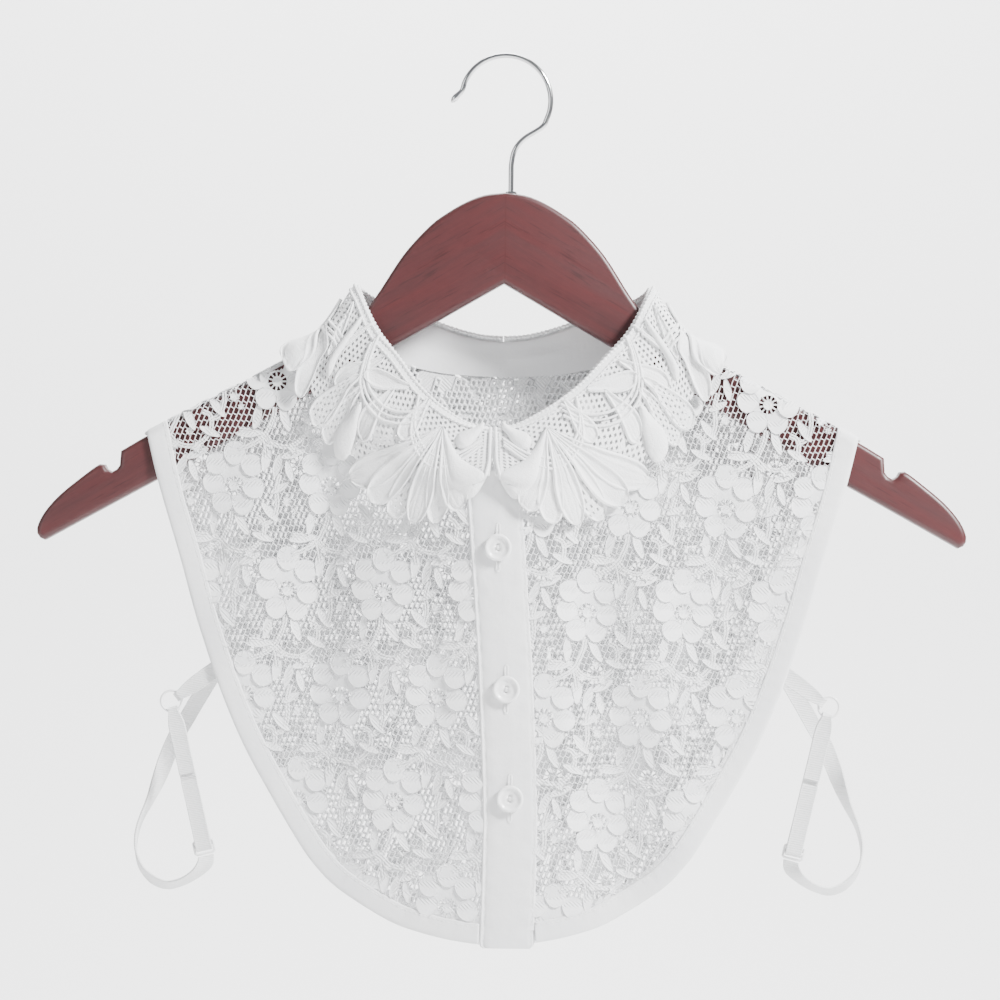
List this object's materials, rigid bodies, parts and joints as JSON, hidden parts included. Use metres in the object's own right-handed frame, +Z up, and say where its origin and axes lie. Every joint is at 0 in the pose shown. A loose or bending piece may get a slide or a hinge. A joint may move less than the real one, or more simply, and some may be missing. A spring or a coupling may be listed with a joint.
{
  "type": "lace dickey collar on a clothes hanger",
  "caption": "White lace false collar with a turn-down guipure collar, button placket and elastic side straps, hanging on a lacquered wooden hanger with a wire hook.",
  "frame": {"origin": "inner crown of the hook, where a rail carries it", "axes": "+X along the hanger to the right, seen from the front; +Y to the back; +Z up"},
  "size_m": [0.4456, 0.0663, 0.4281],
  "materials": {
    "hanger_body": "red-brown gloss lacquer",
    "hanger_hook": "polished chrome wire",
    "front_panel_left": "floral net lace",
    "front_panel_right": "floral net lace",
    "back_panel": "floral net lace",
    "binding_front_left": "plain woven cotton, topstitched",
    "binding_front_right": "plain woven cotton, topstitched",
    "binding_back": "plain woven cotton, topstitched",
    "placket": "plain woven cotton with a corded edge",
    "button_stand": "plain woven cotton",
    "button_1": "glossy white",
    "button_2": "glossy white",
    "button_3": "glossy white",
    "collar_stand": "plain woven cotton",
    "collar_fall_left": "guipure lace, satin stitched",
    "collar_fall_right": "guipure lace, satin stitched",
    "strap_tab_left": "satin elastic",
    "strap_double_left": "satin elastic",
    "strap_loop_left": "satin elastic",
    "strap_ring_left": "white nylon coating",
    "strap_slider_left": "white nylon coating",
    "strap_tab_right": "satin elastic",
    "strap_double_right": "satin elastic",
    "strap_loop_right": "satin elastic",
    "strap_ring_right": "white nylon coating",
    "strap_slider_right": "white nylon coating"
  },
  "bodies": {
    "root": {"hanger_body": "hanger_body", "hanger_hook": "hanger_hook", "front_panel_left": "front_panel_left", "front_panel_right": "front_panel_right", "back_panel": "back_panel", "binding_front_left": "binding_front_left", "binding_front_right": "binding_front_right", "binding_back": "binding_back", "placket": "placket", "button_stand": "button_stand", "button_1": "button_1", "button_2": "button_2", "button_3": "button_3", "collar_stand": "collar_stand", "collar_fall_left": "collar_fall_left", "collar_fall_right": "collar_fall_right", "strap_tab_left": "strap_tab_left", "strap_double_left": "strap_double_left", "strap_loop_left": "strap_loop_left", "strap_ring_left": "strap_ring_left", "strap_slider_left": "strap_slider_left", "strap_tab_right": "strap_tab_right", "strap_double_right": "strap_double_right", "strap_loop_right": "strap_loop_right", "strap_ring_right": "strap_ring_right", "strap_slider_right": "strap_slider_right"}
  },
  "joints": []
}
